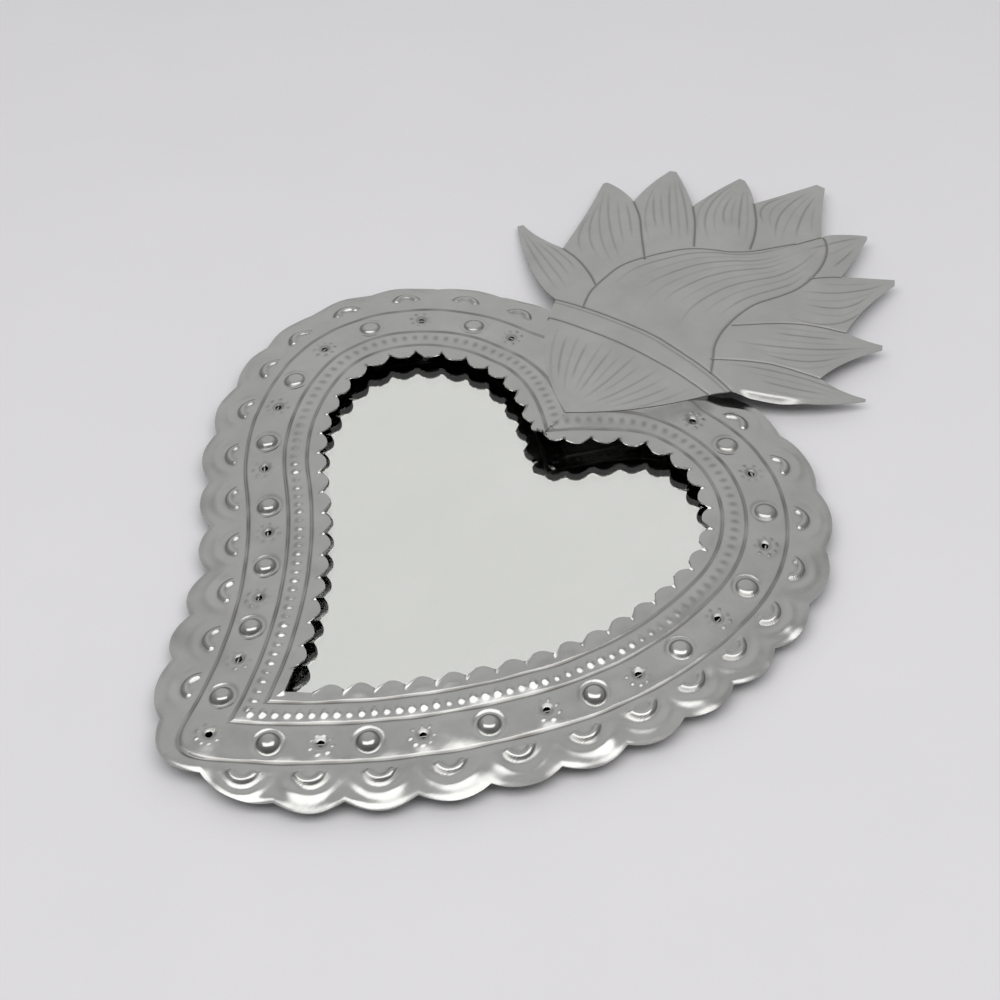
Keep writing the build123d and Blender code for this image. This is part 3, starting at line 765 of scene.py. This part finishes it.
def crown_sheet():
    outline, corners = crown_outline()
    low, high = outline.min(0) - 1, outline.max(0) + 1
    columns, rows = (int(n) for n in np.ceil((high - low) / CROWN_PITCH))
    mesh = sheet_grid(columns, rows)
    co = read_points(mesh)
    x = low[0] + co[:, 0] * (high[0] - low[0])
    y = low[1] + co[:, 1] * (high[1] - low[1])
    inside = np.zeros(x.shape, bool)
    closed = np.vstack([outline, outline[:1]])
    for (ax, ay), (bx, by) in zip(closed, closed[1:]):
        if ay != by:
            crossing = (ay > y) != (by > y)
            inside ^= crossing & (x < ax + (y - ay) * (bx - ax) / (by - ay))
    near, _ = nearness(x, y, closed)
    keep = inside & (near > 0.17)
    write_points(mesh, x, y, np.zeros_like(x))
    bm = bmesh.new()
    bm.from_mesh(mesh)
    bm.verts.ensure_lookup_table()
    bmesh.ops.delete(bm, geom=[bm.verts[i] for i in np.nonzero(~keep)[0]], context="VERTS")
    loose = [v for v in bm.verts if not v.link_faces]
    bmesh.ops.delete(bm, geom=loose, context="VERTS")
    rim = [v for v in bm.verts if v.is_boundary]
    rx = np.array([v.co.x for v in rim])
    ry = np.array([v.co.y for v in rim])
    best = np.full(rx.shape, 1e9)
    sx, sy = rx.copy(), ry.copy()
    for (ax, ay), (bx, by) in zip(closed, closed[1:]):
        dx, dy = bx - ax, by - ay
        t = np.clip(((rx - ax) * dx + (ry - ay) * dy) / (dx * dx + dy * dy + 1e-12), 0, 1)
        px, py = ax + t * dx, ay + t * dy
        d = np.hypot(rx - px, ry - py)
        closer = d < best
        best[closer], sx[closer], sy[closer] = d[closer], px[closer], py[closer]
    for cx, cy in corners:
        k = int(np.argmin(np.hypot(sx - cx, sy - cy)))
        sx[k], sy[k] = cx, cy
    for v, px, py in zip(rim, sx, sy):
        v.co.x, v.co.y = px, py
    flat = bpy.data.meshes.new("flat")
    bm.to_mesh(flat)
    bm.free()
    co = read_points(flat)
    x, y = co[:, 0], co[:, 1]
    z = crown_height(x, y)
    # The crown's chased lines and strokes are coloured darker along them: dirt and painted shade.
    shade_and_dirt = np.zeros_like(x)
    lines = [(line, 1.0) for line in (BAND_TOP, BAND_FOOT, SWEEP_LEFT, SWEEP_RIGHT, *PARTINGS)]
    lines.append((tuple((px, py - 1.9) for px, py in BAND_TOP), 0.5))
    for line, weight in lines:
        d, _ = nearness(x, y, flowing(line))
        z += weight * (-GROOVE_DEPTH * ridge(d, 0.4) - 0.10 * ridge(d, 1.4))
        shade_and_dirt = np.maximum(shade_and_dirt, 0.8 * weight * ridge(d, 0.33))
    for k, line in enumerate(flame_strokes() + fan_rays()):
        d, place = nearness(x, y, line)
        ends = np.clip(4 * np.minimum(place, 1 - place), 0, 1)
        z -= 0.05 * ridge(d, 0.42) * ends
        shade_and_dirt = np.maximum(shade_and_dirt, (0.30 + 0.14 * math.sin(3.1 * k)) * ridge(d, 0.36) * ends)
    z += 0.13 * sheet_wander(x, y, 26, 5) + 0.05 * sheet_wander(x, y, 9, 6)
    # The root of the last flame is rolled down at its edge.
    d, place = nearness(x, y, through((40.0, 57.5), (60.5, 69.3), (77.5, 86.5), 24))
    z -= 1.6 * step(-d, -3.2, 0.0) ** 2 * step(place, 0.02, 0.15) * (1 - step(place, 0.35, 0.6))
    write_points(flat, x, y, z, shade_and_dirt)
    bm = bmesh.new()
    bm.from_mesh(flat)
    # The edges of the fan step down to the lobes.
    steps = []
    for e in bm.edges:
        if e.is_boundary:
            middle = (e.verts[0].co + e.verts[1].co) / 2
            if middle.y < 50 and abs(in_fan(np.array(middle.x), np.array(middle.y))) < 0.4:
                steps.append(e)
    # Their faces are made in the order of the edges, so that each run gives the same mesh.
    feet = {}
    for v in (v for e in steps for v in e.verts):
        if v not in feet:
            chain = LEFT if v.co.x < FAN_TIP[0] else RIGHT
            offset = read_off(chain, v.co.x, v.co.y)[1]
            lobe = border_height(offset) + float(cleft_lift(chain, np.array(v.co.x), np.array(v.co.y)))
            feet[v] = bm.verts.new((v.co.x, v.co.y, min(v.co.z - SHEET, lobe - 0.35)), v)
    for e in steps:
        run = e.link_loops[0]
        a, b = run.link_loop_next.vert, run.vert
        bm.faces.new((a, b, feet[b], feet[a]))
    halves = []
    for name, side in (("crown_left", -1), ("crown_right", 1)):
        part = bm.copy()
        others = [f for f in part.faces if side * (f.calc_center_median().x - CROWN_SEAM) < 0]
        bmesh.ops.delete(part, geom=others, context="FACES")
        halves.append(thicken(part, name))
    bm.free()
    return halves


# ---------------------------------------------------------------- finishes
def new_finish(name):
    finish = bpy.data.materials.new(name)
    finish.use_nodes = True
    tree = finish.node_tree
    tree.nodes.clear()
    out = tree.nodes.new("ShaderNodeOutputMaterial")
    shader = tree.nodes.new("ShaderNodeBsdfPrincipled")
    tree.links.new(shader.outputs[0], out.inputs["Surface"])
    return finish, tree, shader


def noise(tree, scale, detail, stretch=(1, 1, 1), turn=0.0, rough=0.55):
    place = tree.nodes.new("ShaderNodeTexCoord")
    turned = tree.nodes.new("ShaderNodeMapping")
    turned.inputs["Scale"].default_value = stretch
    turned.inputs["Rotation"].default_value = (0, 0, turn)
    grain = tree.nodes.new("ShaderNodeTexNoise")
    grain.inputs["Scale"].default_value = scale
    grain.inputs["Detail"].default_value = detail
    grain.inputs["Roughness"].default_value = rough
    tree.links.new(place.outputs["Object"], turned.inputs["Vector"])
    tree.links.new(turned.outputs[0], grain.inputs["Vector"])
    return grain


def spread_range(tree, value, low, high, to_low, to_high):
    node = tree.nodes.new("ShaderNodeMapRange")
    node.inputs["From Min"].default_value = low
    node.inputs["From Max"].default_value = high
    node.inputs["To Min"].default_value = to_low
    node.inputs["To Max"].default_value = to_high
    tree.links.new(value, node.inputs["Value"])
    return node.outputs[0]


def two_tone(tree, value, dark, light, low=0.3, high=0.7):
    ramp = tree.nodes.new("ShaderNodeValToRGB")
    ramp.color_ramp.elements[0].position = low
    ramp.color_ramp.elements[0].color = (*dark, 1)
    ramp.color_ramp.elements[1].position = high
    ramp.color_ramp.elements[1].color = (*light, 1)
    tree.links.new(value, ramp.inputs[0])
    return ramp.outputs[0]


def coloured(tree, shader, value, dark, light):
    tree.links.new(two_tone(tree, value, dark, light), shader.inputs["Base Color"])


def dents(tree, shader, layers):
    """Bump from several sizes of dent: (height value, depth in metres)."""
    last = None
    for value, depth in layers:
        bump = tree.nodes.new("ShaderNodeBump")
        bump.inputs["Strength"].default_value = 1.0
        bump.inputs["Distance"].default_value = depth
        tree.links.new(value, bump.inputs["Height"])
        if last is not None:
            tree.links.new(last, bump.inputs["Normal"])
        last = bump.outputs[0]
    tree.links.new(last, shader.inputs["Normal"])


def sheet_tin(name, dark, light, rough_low, rough_high, wave_depth, scratch_depth):
    """Rolled tin sheet: cloudy grey, rolling lines, small dents, dirt and painted shade in the chased
    lines and punches.
    """
    finish, tree, shader = new_finish(name)
    shader.inputs["Metallic"].default_value = 1.0
    clouds = noise(tree, 55, 4)
    shade_and_dirt_map = tree.nodes.new("ShaderNodeAttribute")
    shade_and_dirt_map.attribute_name = "shade_and_dirt"
    # The dark colour mixed in by the mask is dirt and painted shade.
    shade_and_dirt_mix = tree.nodes.new("ShaderNodeMix")
    shade_and_dirt_mix.data_type = "RGBA"
    shade_and_dirt_mix.inputs["B"].default_value = (0.10, 0.092, 0.08, 1)
    tree.links.new(shade_and_dirt_map.outputs["Fac"], shade_and_dirt_mix.inputs["Factor"])
    tree.links.new(two_tone(tree, clouds.outputs[0], dark, light), shade_and_dirt_mix.inputs["A"])
    tree.links.new(shade_and_dirt_mix.outputs["Result"], shader.inputs["Base Color"])
    smears = noise(tree, 130, 5, turn=0.6)
    smeared = spread_range(tree, smears.outputs[0], 0.3, 0.7, rough_low, rough_high)
    dulled = tree.nodes.new("ShaderNodeMath")
    dulled.operation = "MULTIPLY_ADD"
    dulled.inputs[1].default_value = 0.3
    tree.links.new(shade_and_dirt_map.outputs["Fac"], dulled.inputs[0])
    tree.links.new(smeared, dulled.inputs[2])
    tree.links.new(dulled.outputs[0], shader.inputs["Roughness"])
    lines = noise(tree, 900, 3, stretch=(1, 0.06, 1), turn=0.5)
    waves = noise(tree, 90, 2)
    dents(tree, shader, [(waves.outputs[0], wave_depth), (lines.outputs[0], scratch_depth)])
    return finish


border_tin = sheet_tin(
    "pressed_border_tin", (0.41, 0.412, 0.404), (0.48, 0.482, 0.472), 0.17, 0.26, 0.00022, 0.00002)
crown_tin = sheet_tin(
    "chased_crown_tin", (0.425, 0.425, 0.418), (0.48, 0.48, 0.472), 0.36, 0.46, 0.00015, 0.00003)
# The box's tin is painted lighter than the border's: painted light, so that the walls read lit in the
# mirror at the cleft.
strip_tin = sheet_tin(
    "box_strip_tin", (0.42, 0.43, 0.41), (0.56, 0.57, 0.55), 0.30, 0.45, 0.0003, 0.00003)


def glass_finish():
    finish, tree, shader = new_finish("greenish_mirror_glass")
    shader.inputs["Transmission Weight"].default_value = 1.0
    shader.inputs["Roughness"].default_value = 0.0
    shader.inputs["IOR"].default_value = 1.52
    faint = noise(tree, 40, 2)
    coloured(tree, shader, faint.outputs[0], (0.962, 0.968, 0.956), (0.968, 0.973, 0.962))
    return finish


def silver_finish():
    finish, tree, shader = new_finish("mirror_silvering")
    shader.inputs["Metallic"].default_value = 1.0
    clouds = noise(tree, 25, 3)
    coloured(tree, shader, clouds.outputs[0], (0.90, 0.905, 0.89), (0.93, 0.93, 0.92))
    shader.inputs["Roughness"].default_value = 0.01
    return finish


def card_finish():
    finish, tree, shader = new_finish("grey_board")
    fibres = noise(tree, 1400, 6, stretch=(1, 0.3, 1))
    coloured(tree, shader, fibres.outputs[0], (0.22, 0.18, 0.13), (0.34, 0.28, 0.21))
    shader.inputs["Roughness"].default_value = 0.9
    dents(tree, shader, [(fibres.outputs[0], 0.0001)])
    return finish


def solder_finish():
    finish, tree, shader = new_finish("soft_solder")
    shader.inputs["Metallic"].default_value = 1.0
    lumps = noise(tree, 500, 3)
    coloured(tree, shader, lumps.outputs[0], (0.34, 0.34, 0.33), (0.55, 0.55, 0.54))
    dull = spread_range(tree, lumps.outputs[0], 0.3, 0.7, 0.28, 0.5)
    tree.links.new(dull, shader.inputs["Roughness"])
    dents(tree, shader, [(lumps.outputs[0], 0.0006)])
    return finish


def wire_finish():
    finish, tree, shader = new_finish("drawn_wire")
    shader.inputs["Metallic"].default_value = 1.0
    streaks = noise(tree, 1200, 3, stretch=(0.2, 1, 1))
    coloured(tree, shader, streaks.outputs[0], (0.40, 0.40, 0.39), (0.60, 0.60, 0.59))
    dull = spread_range(tree, streaks.outputs[0], 0.3, 0.7, 0.25, 0.38)
    tree.links.new(dull, shader.inputs["Roughness"])
    dents(tree, shader, [(streaks.outputs[0], 0.00003)])
    return finish


FINISHES = {
    "mirror_glass": glass_finish(),
    "mirror_silver": silver_finish(),
    "backing_card": card_finish(),
    "front_tacks": solder_finish(),
    "hanging_ring": wire_finish(),
}
FINISHES["tab_tacks"] = FINISHES["strap_solder"] = FINISHES["front_tacks"]
for name in ("box_wall_left", "box_wall_right", "back_plate", "hanger_strap", "front_sheet"):
    FINISHES[name] = strip_tin
for name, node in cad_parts.items():
    node.data.materials.clear()
    node.data.materials.append(FINISHES[name])

# ---------------------------------------------------------------- pieces
pieces = []
for side in ("left", "right"):
    for part, begin, end in (("top", 0, 1 / 3), ("flank", 1 / 3, 2 / 3), ("foot", 2 / 3, 1)):
        piece = border_part(f"border_{side}_{part}", side, begin, end)
        pieces.append(finish_piece(piece, border_tin))
for piece in crown_sheet():
    pieces.append(finish_piece(piece, crown_tin))
for piece in pieces:
    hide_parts("front_sheet")
mirror_pane()

# ---------------------------------------------------------------- floor, light and camera
def floor():
    bm = bmesh.new()
    bmesh.ops.create_grid(bm, x_segments=4, y_segments=4, size=4)
    mesh = bpy.data.meshes.new("floor")
    bm.to_mesh(mesh)
    bm.free()
    piece = bpy.data.objects.new("floor", mesh)
    bpy.context.scene.collection.objects.link(piece)
    finish, tree, shader = new_finish("pale_paper")
    grain = noise(tree, 12, 3)
    coloured(tree, shader, grain.outputs[0], (0.742, 0.735, 0.760), (0.757, 0.749, 0.774))
    shader.inputs["Roughness"].default_value = 0.9
    mesh.materials.append(finish)


def softbox(name, place, target, size, power):
    lamp = bpy.data.lights.new(name, "AREA")
    lamp.shape = "RECTANGLE"
    lamp.size, lamp.size_y = size
    lamp.energy = power
    lamp.color = (1.0, 0.99, 0.975)
    holder = bpy.data.objects.new(name, lamp)
    bpy.context.scene.collection.objects.link(holder)
    holder.location = place
    holder.rotation_euler = (Vector(target) - Vector(place)).to_track_quat("-Z", "Y").to_euler()


def studio():
    world = bpy.data.worlds.new("studio")
    bpy.context.scene.world = world
    world.use_nodes = True
    tree = world.node_tree
    tree.nodes.clear()
    out = tree.nodes.new("ShaderNodeOutputWorld")
    back = tree.nodes.new("ShaderNodeBackground")
    tree.links.new(back.outputs[0], out.inputs[0])
    place = tree.nodes.new("ShaderNodeTexCoord")
    dot = tree.nodes.new("ShaderNodeVectorMath")
    dot.operation = "DOT_PRODUCT"
    dot.inputs[1].default_value = (-0.53, 0.59, 0.61)
    tree.links.new(place.outputs["Generated"], dot.inputs[0])
    ramp = tree.nodes.new("ShaderNodeValToRGB")
    tree.links.new(spread_range(tree, dot.outputs["Value"], -1, 1, 0, 1), ramp.inputs[0])
    stops = ramp.color_ramp.elements
    stops[0].position, stops[0].color = 0.0, (0.12, 0.12, 0.12, 1)
    stops[1].position, stops[1].color = 1.0, (0.75, 0.75, 0.745, 1)
    for place_on_ramp, level in ((0.5, 0.28), (0.75, 0.40), (0.89, 0.50), (0.965, 0.74)):
        stop = stops.new(place_on_ramp)
        stop.color = (level, level, level * 0.995, 1)
    tree.links.new(ramp.outputs[0], back.inputs[0])
    back.inputs[1].default_value = 1.0
    softbox("overhead_softbox", (0.192, -0.231, 1.2), (0, 0, 0), (2.3, 0.85), 12.5)


def camera():
    eye = bpy.data.objects.new("camera", bpy.data.cameras.new("camera"))
    bpy.context.scene.collection.objects.link(eye)
    eye.data.sensor_width = 36
    eye.data.lens = 68.4
    eye.data.clip_start = 0.01
    place, target = Vector((0.30260, -0.35854, 0.471)), Vector((0.00353, -0.02638, 0.0))
    turn = (target - place).to_track_quat("-Z", "Y").to_matrix().to_4x4()
    eye.matrix_world = Matrix.Translation(place) @ turn @ Matrix.Rotation(math.radians(-3), 4, "Z")
    bpy.context.scene.camera = eye


floor()
studio()
camera()
bpy.context.scene.view_settings.view_transform = "Standard"
